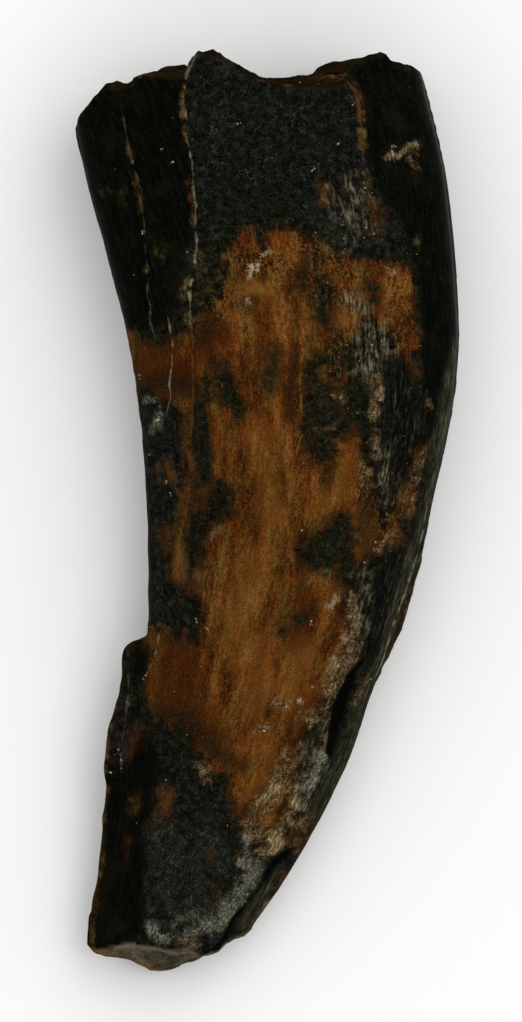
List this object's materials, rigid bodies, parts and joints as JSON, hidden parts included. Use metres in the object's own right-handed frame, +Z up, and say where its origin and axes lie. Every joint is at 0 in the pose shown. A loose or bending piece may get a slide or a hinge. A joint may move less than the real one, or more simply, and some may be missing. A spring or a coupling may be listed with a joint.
{
  "type": "fossil raptor tooth",
  "caption": "Curved, blade-edged fossil tooth crown snapped at its base and tip, lying on its flatter side.",
  "frame": {"origin": "centre of the footprint of the tooth's bounding box, on the surface that it lies on", "axes": "+Y along the tooth from its broken tip to its broken base, +X from the hollow (distal) edge to the bulging (mesial) edge, +Z up through its thickness from the side that it lies on"},
  "size_m": [0.0074, 0.018, 0.0034],
  "materials": {
    "fossil_enamel": "semi-gloss mineralised enamel, black and brown, with a dull tan crust"
  },
  "bodies": {
    "root": {"tooth": "fossil_enamel"}
  },
  "joints": []
}
